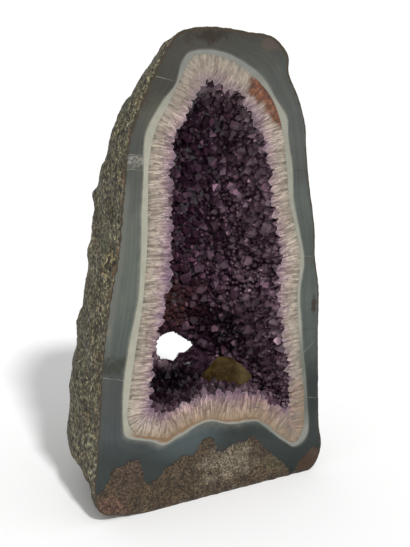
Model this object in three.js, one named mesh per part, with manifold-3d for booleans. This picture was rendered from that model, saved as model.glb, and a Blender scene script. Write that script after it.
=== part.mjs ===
// A tall amethyst geode, cut and polished across its front, standing on a flat sawn base.
// Millimetres. X runs to the right, Y to the back and Z up; the polished face looks along -Y.
// The origin is on the ground, under the middle of the piece.

import * as THREE from 'three';
import { ConvexHull } from 'three/addons/math/ConvexHull.js';
import { ConvexGeometry } from 'three/addons/geometries/ConvexGeometry.js';
import { mergeVertices } from 'three/addons/utils/BufferGeometryUtils.js';
import Module from 'manifold-3d';

const wasm = await Module();
wasm.setup();

// Driving dimensions
const faceY = -120;            // plane of the polished face
const stoneDepth = 238;        // polished face to the back of the stone, without its lumps
const hollowDepth = 188;       // polished face to the back of the hollow in the stone
const crystalDepth = 156;      // polished face to the back of the hollow inside the crystal crust
const cutOver = 42;            // how far the cutting shapes reach in front of that plane
const restGap = 0.3;           // gap between pieces that touch

const stoneColumns = 80;       // facets around the stone
const stoneRows = 19;          // facets from the face to the back of the stone
const hollowColumns = 54;      // facets around the hollow
const hollowRows = 11;         // facets from the face to the back of the hollow

const lumpHeight = 3.2;        // how far the lumps of the skin stand out
const crystalPitch = 17;       // least distance between two crystal points
const crystalHeight = [9, 21]; // lowest and highest crystal point above its foot
const crystalTilt = 0.22;      // how far a crystal leans, as a share of its height
const valleyDrop = 2;          // how far the seams between crystals sink

// Outlines in the plane of the polished face, as [x, z] points joined by smooth curves.
// The stone's outline runs on below the ground, where the sawn base cuts it off.
const stoneOutline = [
  [-171, 45], [-167, 85], [-162, 140], [-159, 180], [-154, 230], [-146, 280], [-139, 313], [-131, 350],
  [-126, 400], [-121, 443], [-114, 483], [-97, 522], [-83, 549], [-68, 575], [-48, 597], [-11, 601],
  [18, 598], [50, 592], [81, 585], [102, 563], [104, 540], [119, 509], [130, 475], [132, 448],
  [138, 400], [148, 341], [150, 302], [157, 258], [158, 200], [160, 140], [163, 69], [168, 33],
  [155, 4], [120, -12], [60, -32], [0, -40], [-70, -32], [-130, -12], [-162, 10],
];
const hollowOutline = [
  [-120, 170], [-124, 132], [-112, 110], [-88, 102], [-68, 96], [-42, 106], [-10, 110], [22, 101],
  [58, 98], [80, 83], [101, 62], [124, 48], [138, 66], [138, 112], [132, 165], [126, 215], [124, 258],
  [127, 303], [118, 345], [108, 384], [103, 426], [97, 468], [83, 506], [60, 534], [31, 555],
  [2, 567], [-28, 569], [-45, 548], [-63, 516], [-81, 486], [-90, 448], [-92, 400], [-94, 345],
  [-100, 285], [-110, 228],
];
const crystalOutline = [
  [-70, 430], [-70, 385], [-71, 335], [-75, 298], [-81, 262], [-90, 228], [-97, 195], [-101, 162],
  [-92, 132], [-62, 126], [-25, 134], [10, 136], [42, 129], [70, 116], [94, 97], [116, 90],
  [122, 132], [115, 182], [106, 222], [101, 260], [105, 302], [98, 350], [89, 386], [89, 425],
  [76, 456], [65, 492], [42, 525], [6, 541], [-24, 545], [-41, 514], [-58, 481], [-67, 456],
];

// Each bowl runs back from its outline and closes at one point. A side, top or foot of 2 is round
// and a higher one is squarer. The axis starts at the height middle and sinks towards the back.
const stoneBowl = {
  outline: stoneOutline, depth: stoneDepth, side: 2.2, top: 1.6, foot: 2.2, middle: 235, sink: 30,
};
const hollowBowl = {
  outline: hollowOutline, depth: hollowDepth, side: 2.4, top: 1.6, foot: 3.0, middle: 250, sink: 52,
};
const crystalBowl = {
  outline: crystalOutline, depth: crystalDepth, side: 2.4, top: 1.6, foot: 3.2, middle: 255, sink: 56,
};

// The hole broken through the lower back. It slants down to the right as it runs back, and widens
// once it is inside the stone, so that a straight way leads through it too.
const holeMouth = [
  [-27, 6], [-14, 21], [5, 19], [16, 9], [28, -6], [20, -12], [9, -13], [2, -20], [-12, -13], [-23, -8],
];
const holeExit = [
  [-27, 6], [-16, 20], [3, 24], [19, 16], [28, 0], [25, -13], [14, -20], [0, -23], [-14, -19], [-25, -8],
];
const holeSections = [
  { y: -70, x: -33, z: 197, outline: holeMouth, scale: 0.98 },
  { y: 0, x: 5, z: 167, outline: holeMouth, scale: 1 },
  { y: 35, x: 21, z: 157, outline: holeExit, scale: 1.25 },
  { y: 75, x: 36, z: 146, outline: holeExit, scale: 1.75 },
  { y: 120, x: 52, z: 135, outline: holeExit, scale: 2.3 },
  { y: 160, x: 64, z: 126, outline: holeExit, scale: 2.6 },
];

// Bumps and, with a height below 0, dents of the skin: place, reach and height
const knobs = [
  [[-122, 40, 256], 60, -17],
  [[-60, -60, 560], 36, -5],
  [[-90, -50, 516], 18, -4],
  [[-94, 12, 414], 20, -7],
  [[-103, 0, 386], 11, 9],
  [[-112, 4, 346], 18, -4],
  [[-147, 23, 68], 26, -5],
  [[-166, -70, -6], 48, -20],
  [[20, 112, 300], 34, 9],
  [[92, 60, 380], 30, 8],
  [[150, -20, 180], 26, 7],
  [[40, 40, 520], 26, 7],
];

// The calcite crystal, on the floor of the hollow just behind its lip
const calcitePlace = new THREE.Vector3(46, -73, 148);
const calciteCorners = [
  [-41, -3, 4], [-36, 8, -6], [-36, -9, -8], [-22, -12, 14], [-14, 0, 24], [-4, -12, 15], [-6, 9, 20],
  [13, -11, 13], [12, 9, 15], [24, -10, 1], [24, 10, 3], [38, -2, -13], [34, 9, -16], [24, -11, -19],
  [0, -13, -14], [0, 12, -16], [-24, -12, -13],
];

const materials = {
  stone: new THREE.MeshStandardMaterial({ color: 0x6e6a5a, roughness: 0.75, metalness: 0 }),
  amethyst: new THREE.MeshStandardMaterial({ color: 0x5b4668, roughness: 0.2, metalness: 0 }),
  calcite: new THREE.MeshStandardMaterial({ color: 0x7a6434, roughness: 0.35, metalness: 0 }),
};

function seeded(seed) {
  let state = seed;
  return () => {
    state = (state * 1664525 + 1013904223) % 4294967296;
    return state / 4294967296;
  };
}

function outlineCurve(outline) {
  const points = outline.map(([x, z]) => new THREE.Vector3(x, 0, z));
  return new THREE.CatmullRomCurve3(points, true, 'catmullrom', 0.5);
}

// A point of a bowl: around is 0 to 1 along the outline, turn is 0 at the face and a quarter
// turn at the back. A turn below 0 lies straight in front of the outline.
function bowlPoint(bowl, curve, around, turn) {
  const edge = curve.getPoint(around % 1);
  if (turn < 0) return new THREE.Vector3(edge.x, faceY + turn * cutOver, edge.z);
  const angle = Math.atan2(edge.z - bowl.middle, edge.x);
  const up = Math.max(Math.sin(angle), 0) ** 3;
  const down = Math.max(-Math.sin(angle), 0) ** 3;
  const power = bowl.side + (bowl.top - bowl.side) * up + (bowl.foot - bowl.side) * down;
  const inward = Math.max(Math.cos(turn), 0) ** (2 / power);
  const back = Math.sin(turn) ** (2 / power);
  const axisZ = bowl.middle - bowl.sink * back;
  const y = faceY + bowl.depth * back;
  return new THREE.Vector3(edge.x * inward, y, axisZ + (edge.z - axisZ) * inward);
}

function bowlRings(bowl, columns, rows, turns = []) {
  const curve = outlineCurve(bowl.outline);
  const all = [...turns];
  for (let row = 0; row < rows; row += 1) all.push((row / rows) * (Math.PI / 2));
  return all.map((turn) => {
    const ring = [];
    for (let column = 0; column < columns; column += 1) {
      ring.push(bowlPoint(bowl, curve, column / columns, turn));
    }
    return ring;
  });
}

// Lumps and pits of the rough skin: none at the polished face, full height a little behind it
function roughen(point) {
  const { x, y, z } = point;
  const fade = Math.min((y - faceY) / 30, 1);
  const broad = Math.sin(x / 17 + z / 43) * Math.sin(y / 19 - x / 47)
    + Math.sin(z / 18 + y / 51) * Math.sin(x / 23 - z / 39);
  const small = Math.sin(x / 9 - y / 31) * Math.sin(z / 10 + x / 37)
    + Math.sin(y / 10 + z / 29) * Math.sin(z / 11 - x / 33);
  let height = lumpHeight * (broad + 0.7 * small);
  for (const [place, reach, tall] of knobs) {
    const distance = point.distanceTo(new THREE.Vector3(...place));
    height += tall * Math.exp(-((distance / reach) ** 2));
  }
  const outward = new THREE.Vector3(x, y - faceY, z - stoneBowl.middle).normalize();
  return point.addScaledVector(outward, fade * height);
}

function average(points) {
  const sum = points.reduce((total, point) => total.add(point), new THREE.Vector3());
  return sum.divideScalar(points.length);
}

// A closed skin over a row of rings, with a point over the first and the last ring
function skin(rings, firstPoint, lastPoint) {
  const count = rings[0].length;
  const points = [...rings.flat(), firstPoint, lastPoint];
  const first = points.length - 2;
  const last = points.length - 1;
  const index = [];
  for (let row = 0; row + 1 < rings.length; row += 1) {
    for (let column = 0; column < count; column += 1) {
      const a = row * count + column;
      const b = row * count + ((column + 1) % count);
      index.push(a, b, a + count, b, b + count, a + count);
    }
  }
  const end = (rings.length - 1) * count;
  for (let column = 0; column < count; column += 1) {
    const next = (column + 1) % count;
    index.push(first, next, column);
    index.push(last, end + column, end + next);
  }
  return meshed(points, index);
}

// A geometry from points and triangles, its faces turned outwards
function meshed(points, index) {
  const geometry = new THREE.BufferGeometry().setFromPoints(points);
  let volume = 0;
  for (let i = 0; i < index.length; i += 3) {
    const [a, b, c] = [points[index[i]], points[index[i + 1]], points[index[i + 2]]];
    volume += a.dot(b.clone().cross(c));
  }
  const turned = volume < 0 ? [...index].reverse() : index;
  geometry.setIndex(turned);
  return geometry;
}

function toSolid(geometry) {
  const bare = geometry.clone();
  bare.deleteAttribute('normal');
  bare.deleteAttribute('uv');
  const merged = mergeVertices(bare, 1e-4);
  return new wasm.Manifold(new wasm.Mesh({
    numProp: 3,
    vertProperties: new Float32Array(merged.attributes.position.array),
    triVerts: new Uint32Array(merged.index.array),
  }));
}

function toGeometry(solid) {
  const mesh = solid.getMesh();
  const geometry = new THREE.BufferGeometry();
  geometry.setAttribute('position', new THREE.BufferAttribute(new Float32Array(mesh.vertProperties), 3));
  geometry.setIndex(new THREE.BufferAttribute(new Uint32Array(mesh.triVerts), 1));
  geometry.computeVertexNormals();
  return geometry;
}

function box(sizeX, sizeY, sizeZ, x, y, z) {
  return toSolid(new THREE.BoxGeometry(sizeX, sizeY, sizeZ).translate(x, y, z));
}

function stoneBody() {
  const rings = bowlRings(stoneBowl, stoneColumns, stoneRows).map((ring) => ring.map(roughen));
  const back = roughen(new THREE.Vector3(0, faceY + stoneDepth, stoneBowl.middle - stoneBowl.sink));
  return toSolid(skin(rings, new THREE.Vector3(0, faceY, stoneBowl.middle), back));
}

// The hollow of the stone, moved inwards by a gap where the crust is to be cut from it
function hollowShape(gap) {
  const rings = bowlRings(hollowBowl, hollowColumns, hollowRows, [-1]);
  const middle = hollowBowl.middle;
  const front = new THREE.Vector3(0, faceY - cutOver, middle);
  const back = new THREE.Vector3(0, faceY + hollowDepth, middle - hollowBowl.sink);
  const geometry = skin(rings, front, back);
  geometry.computeVertexNormals();
  const { position, normal } = geometry.attributes;
  for (let i = 0; i < position.count; i += 1) {
    position.setXYZ(
      i,
      position.getX(i) - gap * normal.getX(i),
      position.getY(i) - gap * normal.getY(i),
      position.getZ(i) - gap * normal.getZ(i),
    );
  }
  return toSolid(geometry);
}

function holeShape() {
  const rings = holeSections.map((section) => section.outline
    .map(([x, z]) => new THREE.Vector3(x, 0, z).multiplyScalar(section.scale)
      .add(new THREE.Vector3(section.x, section.y, section.z))));
  return toSolid(skin(rings, average(rings[0]), average(rings[rings.length - 1])));
}

// Places for crystal points, spread unevenly over a bowl but never closer than the pitch
function crystalPlaces(random) {
  const curve = outlineCurve(crystalBowl.outline);
  const places = [];
  for (let attempt = 0; attempt < 9000; attempt += 1) {
    const turn = -0.9 + random() * (Math.PI / 2 + 0.9);
    const place = bowlPoint(crystalBowl, curve, random(), turn);
    if (places.every((other) => other.distanceTo(place) > crystalPitch)) places.push(place);
  }
  return places;
}

// The open space inside the crust: a closed shape with a six-sided dent for each crystal point
function crystalSpace() {
  const random = seeded(7);
  const places = crystalPlaces(random);
  const centre = new THREE.Vector3(8, faceY + 45, 310);
  const reach = new THREE.Vector3(105, 130, 225);
  const directions = places.map((place) => place.clone().sub(centre).divide(reach).normalize());
  directions.forEach((direction, i) => { direction.index = i; });
  const hull = new ConvexHull().setFromPoints(directions);
  const triangles = hull.faces
    .map((face) => [0, 1, 2].map((corner) => face.getEdge(corner).head().point.index));

  const inward = places.map(() => new THREE.Vector3());
  for (const [a, b, c] of triangles) {
    const first = places[b].clone().sub(places[a]);
    const slope = first.cross(places[c].clone().sub(places[a]));
    for (const corner of [a, b, c]) inward[corner].sub(slope);
  }
  const points = places.map((place, i) => {
    const [low, high] = crystalHeight;
    const height = low + (high - low) * random() ** 1.4;
    const lean = new THREE.Vector3(random() - 0.5, random() - 0.5, random() - 0.5);
    lean.multiplyScalar(2 * crystalTilt);
    return place.clone().addScaledVector(inward[i].normalize().add(lean), height);
  });

  // A seam point in the middle of each triangle of neighbours, sunk a little into the crust
  const seamOf = triangles.map(([a, b, c]) => {
    const sides = [[a, b], [b, c], [c, a]].map(([from, to]) => places[from].distanceTo(places[to]));
    if (Math.max(...sides) > 3 * crystalPitch) return -1;
    const middle = average([places[a], places[b], places[c]]);
    const slope = average([inward[a], inward[b], inward[c]]);
    points.push(middle.addScaledVector(slope, -valleyDrop));
    return points.length - 1;
  });

  // Each edge between two neighbours gives a face to both of their crystals
  const faceBeside = new Map();
  triangles.forEach(([a, b, c], i) => {
    for (const [from, to] of [[a, b], [b, c], [c, a]]) faceBeside.set(`${from} ${to}`, i);
  });
  const index = [];
  triangles.forEach(([a, b, c], i) => {
    if (seamOf[i] < 0) {
      index.push(a, b, c);
      return;
    }
    for (const [from, to] of [[a, b], [b, c], [c, a]]) {
      const other = seamOf[faceBeside.get(`${to} ${from}`)];
      if (other < 0) index.push(from, to, seamOf[i]);
      else index.push(from, other, seamOf[i]);
    }
  });
  return toSolid(meshed(points, index));
}

function calciteShape(grown) {
  const corners = calciteCorners.map(([x, y, z]) => {
    const corner = new THREE.Vector3(x, y, z);
    return corner.setLength(corner.length() + grown).add(calcitePlace);
  });
  return toSolid(new ConvexGeometry(corners));
}

function named(name, solid, material) {
  const mesh = new THREE.Mesh(toGeometry(solid), material);
  mesh.name = name;
  return mesh;
}

const ground = box(800, 800, 200, 0, 0, -100);
const inFront = box(800, 200, 1400, 0, faceY - 100, 300);
const hole = holeShape();

const stone = stoneBody().subtract(hollowShape(0)).subtract(hole).subtract(ground);
const crust = hollowShape(restGap).subtract(crystalSpace()).subtract(hole).subtract(inFront)
  .subtract(calciteShape(2 * restGap));

const geode = new THREE.Group();
geode.add(named('geode_shell', stone, materials.stone));
geode.add(named('amethyst_crust', crust, materials.amethyst));
geode.add(named('calcite_crystal', calciteShape(0), materials.calcite));

export default geode;
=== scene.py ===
import math
import bmesh
import bpy
import numpy as np
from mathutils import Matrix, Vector, noise
from mathutils.bvhtree import BVHTree


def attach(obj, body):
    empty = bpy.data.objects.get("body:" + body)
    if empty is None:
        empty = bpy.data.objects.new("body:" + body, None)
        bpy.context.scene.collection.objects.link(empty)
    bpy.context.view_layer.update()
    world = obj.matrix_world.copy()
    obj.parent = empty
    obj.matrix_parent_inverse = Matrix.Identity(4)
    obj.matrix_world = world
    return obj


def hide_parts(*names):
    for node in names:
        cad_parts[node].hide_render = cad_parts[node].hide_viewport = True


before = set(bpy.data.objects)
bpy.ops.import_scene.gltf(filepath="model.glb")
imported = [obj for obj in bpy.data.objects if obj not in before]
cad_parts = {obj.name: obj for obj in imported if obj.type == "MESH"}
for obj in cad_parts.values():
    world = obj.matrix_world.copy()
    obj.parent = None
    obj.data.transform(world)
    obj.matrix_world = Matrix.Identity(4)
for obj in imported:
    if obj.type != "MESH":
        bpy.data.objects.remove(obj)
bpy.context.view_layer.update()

# A tall amethyst geode, cut and polished across its front. Lengths are in millimetres here and
# become metres when a mesh is made. The polished face lies at faceY and looks along -Y.
mm = 0.001
faceY = -120.0
curveSteps = 4000  # steps along an outline when it is measured

# Half bowls behind the face: how deep, how square at the sides, top and foot, the height of the
# axis at the face, and how far the axis sinks towards the back
bowls = {
    "stone": {"depth": 238, "side": 2.2, "top": 1.6, "foot": 2.2, "middle": 235, "sink": 30},
    "hollow": {"depth": 188, "side": 2.4, "top": 1.6, "foot": 3.0, "middle": 250, "sink": 52},
    "crystal": {"depth": 156, "side": 2.4, "top": 1.6, "foot": 3.2, "middle": 255, "sink": 56},
}

# Outlines on the polished face, [x, z], counterclockwise. The stone's runs on below the ground.
outlines = {
    "stone": [
        [-162, 10], [-130, -12], [-70, -32], [0, -40], [60, -32], [120, -12], [155, 4], [168, 33],
        [163, 69], [160, 140], [158, 200], [157, 258], [150, 302], [148, 341], [138, 400], [132, 448],
        [130, 475], [119, 509], [104, 540], [102, 563], [81, 585], [50, 592], [18, 598], [-11, 601],
        [-48, 597], [-68, 575], [-83, 549], [-97, 522], [-114, 483], [-121, 443], [-126, 400],
        [-131, 350], [-139, 313], [-146, 280], [-154, 230], [-159, 180], [-162, 140], [-167, 85],
        [-171, 45],
    ],
    "paleEdge": [
        [-130, 170], [-131, 132], [-127, 110], [-107, 101], [-90, 95], [-76, 87], [-62, 90], [-43, 96],
        [-22, 104], [-4, 105], [22, 95], [60, 91], [74, 82], [88, 69], [108, 52], [126, 41], [146, 56],
        [144, 100], [140, 143], [135, 180], [132, 212], [128, 255], [133, 290], [132, 310], [124, 345],
        [115, 382], [113, 420], [105, 462], [103, 486], [86, 511], [64, 541], [31, 563], [0, 574],
        [-33, 574], [-46, 562], [-54, 538], [-74, 516], [-95, 480], [-98, 430], [-101, 391], [-103, 335],
        [-107, 286], [-118, 240], [-127, 195],
    ],
    "hollow": [
        [-120, 170], [-124, 132], [-112, 110], [-88, 102], [-68, 96], [-42, 106], [-10, 110], [22, 101],
        [58, 98], [80, 83], [101, 62], [124, 48], [138, 66], [138, 112], [132, 165], [126, 215],
        [124, 258], [127, 303], [118, 345], [108, 384], [103, 426], [97, 468], [83, 506], [60, 534],
        [31, 555], [2, 567], [-28, 569], [-45, 548], [-63, 516], [-81, 486], [-90, 448], [-92, 400],
        [-94, 345], [-100, 285], [-110, 228],
    ],
    "crystal": [
        [-65, 430], [-64, 385], [-66, 335], [-69, 298], [-76, 262], [-85, 228], [-91, 195], [-94, 162],
        [-88, 136], [-62, 130], [-25, 138], [10, 140], [42, 133], [70, 120], [94, 102], [112, 95],
        [118, 132], [112, 182], [103, 222], [98, 260], [101, 302], [95, 350], [86, 386], [85, 425],
        [76, 452], [65, 474], [51, 503], [34, 524], [4, 537], [-21, 541], [-34, 515], [-47, 498],
        [-57, 481], [-63, 456],
    ],
}

# The hole through the lower back: y, then the middle's x and z, the outline and its scale
holeMouth = [
    [-27, 6], [-14, 21], [5, 19], [16, 9], [28, -6], [20, -12], [9, -13], [2, -20], [-12, -13], [-23, -8],
]
holeExit = [
    [-27, 6], [-16, 20], [3, 24], [19, 16], [28, 0], [25, -13], [14, -20], [0, -23], [-14, -19], [-25, -8],
]
holeSections = [
    [-70, -33, 197, holeMouth, 0.98],
    [0, 5, 167, holeMouth, 1.0],
    [35, 21, 157, holeExit, 1.25],
    [75, 36, 146, holeExit, 1.75],
    [120, 52, 135, holeExit, 2.3],
    [160, 64, 126, holeExit, 2.6],
]
crustMouth = [  # the hole's edge in the crystals, about the same middle
    [-24, -2], [-20, -13], [-12, -14], [-5, -17], [3, -20], [9, -11], [17, -11], [28, -3], [16, 5],
    [4, 14], [-12, 14], [-20, 7],
]
holeCut = {"from": -69, "to": 158, "rings": 76, "spots": 96, "lumps": 16}


# Forms shared by the pieces


def smoothOutline(points, places):
    pts = np.array(points, float)
    t = (np.asarray(places, float) % 1.0) * len(pts)
    i = np.floor(t).astype(int)
    f = (t - i)[:, None]
    p0, p1, p2, p3 = (pts[(i + k) % len(pts)] for k in (-1, 0, 1, 2))
    slope1, slope2 = 0.5 * (p2 - p0), 0.5 * (p3 - p1)
    bend2 = 3 * (p2 - p1) - 2 * slope1 - slope2
    bend3 = 2 * (p1 - p2) + slope1 + slope2
    return p1 + slope1 * f + bend2 * f**2 + bend3 * f**3


def evenOutline(points, count):  # points at even steps along the curve
    dense = smoothOutline(points, np.arange(curveSteps) / curveSteps)
    closed = np.vstack([dense, dense[:1]])
    length = np.concatenate([[0], np.cumsum(np.linalg.norm(np.diff(closed, axis=0), axis=1))])
    wanted = np.arange(count) / count * length[-1]
    return np.stack([np.interp(wanted, length, closed[:, k]) for k in (0, 1)], 1)


def acrossFrom(ring, points, pull):  # for each point of ring, its partner on another outline
    dense = evenOutline(points, curveSteps)
    nearest = ((ring[:, None] - dense[None]) ** 2).sum(2).argmin(1) / curveSteps
    even = np.arange(len(ring)) / len(ring)
    offset = nearest - even
    offset -= np.round(offset - offset[0])
    kernel = np.hanning(25)  # evens out jumps from point to point
    spread = np.tile(offset - offset.mean(), 3)
    spread = np.convolve(spread, kernel / kernel.sum(), "same")[len(ring):2 * len(ring)]
    place = (even + offset.mean() + pull * spread) % 1.0 * curveSteps
    closed = np.vstack([dense, dense[:1]])
    return np.stack([np.interp(place, np.arange(curveSteps + 1), closed[:, k]) for k in (0, 1)], 1)


def bowlRing(name, edge, turn):  # turn is 0 at the face and a quarter turn at the back
    bowl = bowls[name]
    x, z = edge[:, 0], edge[:, 1]
    lift = np.sin(np.arctan2(z - bowl["middle"], x))
    power = bowl["side"] + (bowl["top"] - bowl["side"]) * np.maximum(lift, 0) ** 3
    power = power + (bowl["foot"] - bowl["side"]) * np.maximum(-lift, 0) ** 3
    inward = max(math.cos(turn), 0) ** (2 / power)
    back = math.sin(turn) ** (2 / power)
    axis = bowl["middle"] - bowl["sink"] * back
    return np.stack([x * inward, faceY + bowl["depth"] * back, axis + (z - axis) * inward], 1)


def bowlEnd(name):
    bowl = bowls[name]
    return np.array([0.0, faceY + bowl["depth"], bowl["middle"] - bowl["sink"]])


def flatRing(edge, y=faceY):
    return np.stack([edge[:, 0], np.full(len(edge), float(y)), edge[:, 1]], 1)


def turns(count):
    return [math.pi / 2 * i / count for i in range(count)]


def linkMesh(name, verts, faces, zones=None):  # verts in millimetres
    mesh = bpy.data.meshes.new(name)
    mesh.from_pydata((np.asarray(verts) * mm).tolist(), [], faces)
    if zones is not None:
        mesh.polygons.foreach_set("material_index", np.asarray(zones, np.int32))
    mesh.update()
    obj = bpy.data.objects.new(name, mesh)
    bpy.context.collection.objects.link(obj)
    return obj


def ringFaces(rows, columns, closedEnds=True):  # quads between rings, and a fan over each end
    faces = []
    for row in range(rows - 1):
        a = row * columns
        b = a + columns
        faces += [(a + i, a + (i + 1) % columns, b + (i + 1) % columns, b + i) for i in range(columns)]
    if closedEnds:
        first, last, end = rows * columns, rows * columns + 1, (rows - 1) * columns
        faces += [(first, (i + 1) % columns, i) for i in range(columns)]
        faces += [(last, end + i, end + (i + 1) % columns) for i in range(columns)]
    return faces


def turnedOut(obj):  # turns a closed mesh the right way round if its volume is negative
    work = bmesh.new()
    work.from_mesh(obj.data)
    if work.calc_volume(signed=True) < 0:
        bmesh.ops.reverse_faces(work, faces=work.faces)
        work.to_mesh(obj.data)
    work.free()
    return obj


def setFloats(mesh, name, values):
    layer = mesh.attributes.new(name, "FLOAT", "POINT")
    layer.data.foreach_set("value", np.asarray(values, np.float32).ravel())


def setVectors(mesh, name, values):
    layer = mesh.attributes.new(name, "FLOAT_VECTOR", "POINT")
    layer.data.foreach_set("vector", np.asarray(values, np.float32).ravel())


def placesOf(mesh):  # vertex places in millimetres
    flat = np.empty(len(mesh.vertices) * 3, np.float32)
    mesh.vertices.foreach_get("co", flat)
    return flat.reshape(-1, 3).astype(float) / mm


def applied(obj):  # the object with its modifiers turned into plain mesh
    graph = bpy.context.evaluated_depsgraph_get()
    shown = obj.evaluated_get(graph)
    mesh = bpy.data.meshes.new_from_object(shown, preserve_all_data_layers=True, depsgraph=graph)
    obj.modifiers.clear()
    old = obj.data
    obj.data = mesh
    bpy.data.meshes.remove(old)
    return obj


def cutAway(obj, cutter):
    cut = obj.modifiers.new("cut", "BOOLEAN")
    cut.operation = "DIFFERENCE"
    cut.solver = "MANIFOLD"
    cut.object = cutter
    applied(obj)


def closedUp(work):  # fills every opening of a bmesh and gives the new faces
    openEdges = [edge for edge in work.edges if edge.is_boundary]
    return bmesh.ops.holes_fill(work, edges=openEdges, sides=0)["faces"]


def slicedOff(work, place, way, nearness):  # cuts away what lies beyond a plane and fills the cut
    geom = work.verts[:] + work.edges[:] + work.faces[:]
    bmesh.ops.bisect_plane(
        work, geom=geom, dist=nearness, plane_co=place, plane_no=way, clear_outer=True
    )
    return closedUp(work)


def bowlMesh(name, columns, rows, inFront):  # an open bowl, carried on in front of the face
    edge = evenOutline(outlines[name], columns)
    rings = [flatRing(edge, faceY - far) for far in inFront]
    rings += [bowlRing(name, edge, turn) for turn in turns(rows)]
    verts = np.vstack(rings + [bowlEnd(name)[None]])
    faces = ringFaces(len(rings), columns, False)
    end = (len(rings) - 1) * columns
    faces += [(len(verts) - 1, end + i, end + (i + 1) % columns) for i in range(columns)]
    return verts, faces


def holeRing(y, spots=64, mouth=None):  # the hole's edge at a depth as [x, z], and its middle
    ys = [section[0] for section in holeSections]
    step = min(max(np.searchsorted(ys, y) - 1, 0), len(ys) - 2)
    low, high = holeSections[step], holeSections[step + 1]
    share = min(max((y - low[0]) / (high[0] - low[0]), 0), 1)
    middle = np.array(low[1:3]) * (1 - share) + np.array(high[1:3]) * share
    edges = [np.array(mouth or section[3]) * section[4] for section in (low, high)]
    edge = edges[0] * (1 - share) + edges[1] * share
    return middle + smoothOutline(edge, np.arange(spots) / spots), middle


def insideMouth(place, grow):  # whether a place lies in the crust's part of the hole
    edge, middle = holeRing(place[1], 64, crustMouth)
    edge = middle + (edge - middle) * grow
    x, z = place[0], place[2]
    nextEdge = np.roll(edge, -1, 0)
    straddles = (edge[:, 1] > z) != (nextEdge[:, 1] > z)
    rise = np.where(straddles, nextEdge[:, 1] - edge[:, 1], 1)
    crossing = edge[:, 0] + (z - edge[:, 1]) / rise * (nextEdge[:, 0] - edge[:, 0])
    return bool((straddles & (x < crossing)).sum() % 2)


def holeCutter(name, rough, mouth=None):  # a rough plug in the form of the hole
    rings = []
    spots = holeCut["spots"]
    for y in np.linspace(holeCut["from"], holeCut["to"], holeCut["rings"]):
        edge, middle = holeRing(y, spots, mouth)
        ring = flatRing(edge, y)
        for k, point in enumerate(ring):
            way = Vector((point[0] - middle[0], 0, point[2] - middle[1])).normalized()
            swell = rough * noise.fractal(Vector(point) / holeCut["lumps"], 0.9, 2.1, 4)
            ring[k] += np.array(way) * swell
        rings.append(ring)
    ends = [flatRing(np.array([ring.mean(0)[[0, 2]]]), ring[0][1]) for ring in (rings[0], rings[-1])]
    return turnedOut(linkMesh(name, np.vstack(rings + ends), ringFaces(len(rings), spots)))


# Shader helpers


def makeMaterial(name):
    material = bpy.data.materials.new(name)
    material.use_nodes = True
    tree = material.node_tree
    return material, tree, tree.nodes["Principled BSDF"]


def setInputs(tree, node, inputs):  # sets each input, or joins it to another node's output
    for key, value in inputs.items():
        if isinstance(value, bpy.types.NodeSocket):
            tree.links.new(value, node.inputs[key])
        elif value is not None:
            node.inputs[key].default_value = value


def put(tree, kind, inputs=None, **settings):  # a new node
    made = tree.nodes.new(kind)
    for key, value in settings.items():
        setattr(made, key, value)
    setInputs(tree, made, inputs or {})
    return made


def calc(tree, operation, a, b=None, clamp=False):
    return put(tree, "ShaderNodeMath", {0: a, 1: b}, operation=operation, use_clamp=clamp).outputs[0]


def product(tree, first, *others):  # several masks multiplied
    for other in others:
        first = calc(tree, "MULTIPLY", first, other)
    return first


def blendOf(tree, factor, a, b, mode="MIX"):
    a, b = (tuple(c) + (1,) if isinstance(c, tuple) and len(c) == 3 else c for c in (a, b))
    made = put(tree, "ShaderNodeMix", {0: factor, 6: a, 7: b}, data_type="RGBA", blend_type=mode)
    return made.outputs[2]


def tinted(tree, colour, tint, share=1.0):  # the colour multiplied by a tint
    return blendOf(tree, share, colour, tint, "MULTIPLY")


def fade(tree, value, low, high, fromTo=(0, 1)):  # smooth step from low to high
    keys = {"Value": value, "From Min": low, "From Max": high, "To Min": fromTo[0], "To Max": fromTo[1]}
    return put(tree, "ShaderNodeMapRange", keys, interpolation_type="SMOOTHSTEP").outputs[0]


def ramp(tree, value, stops):  # colours along a value, each stop a place and a colour
    made = put(tree, "ShaderNodeValToRGB", {0: value})
    elements = made.color_ramp.elements
    while len(elements) < len(stops):
        elements.new(0.5)
    for element, (place, colour) in zip(elements, stops):
        element.position = place
        element.color = tuple(colour) + (1,)
    return made.outputs[0]


def grain(tree, vector, scale, detail=4, roughness=0.55):
    keys = {"Vector": vector, "Scale": scale, "Detail": detail, "Roughness": roughness}
    return put(tree, "ShaderNodeTexNoise", keys).outputs[0]


def cells(tree, vector, scale, feature="F1"):  # distance from the cells' middles or edges
    keys = {"Vector": vector, "Scale": scale}
    return put(tree, "ShaderNodeTexVoronoi", keys, feature=feature).outputs[0]


def cellTone(tree, vector, scale):  # a random grey for each cell
    colour = put(tree, "ShaderNodeTexVoronoi", {"Vector": vector, "Scale": scale}).outputs[1]
    return put(tree, "ShaderNodeRGBToBW", {0: colour}).outputs[0]


def shifted(tree, place, scale, reach):  # the place moved about by a noise
    wander = put(tree, "ShaderNodeTexNoise", {"Vector": place, "Scale": scale}).outputs[1]
    keys = {0: wander, 1: reach, 2: place}
    return put(tree, "ShaderNodeVectorMath", keys, operation="MULTIPLY_ADD").outputs[0]


def scaled(tree, vector, factors):
    keys = {0: vector, 1: factors}
    return put(tree, "ShaderNodeVectorMath", keys, operation="MULTIPLY").outputs[0]


def layerValue(tree, name):
    return put(tree, "ShaderNodeAttribute", attribute_name=name).outputs["Fac"]


def layerVector(tree, name):
    return put(tree, "ShaderNodeAttribute", attribute_name=name).outputs["Vector"]


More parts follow.
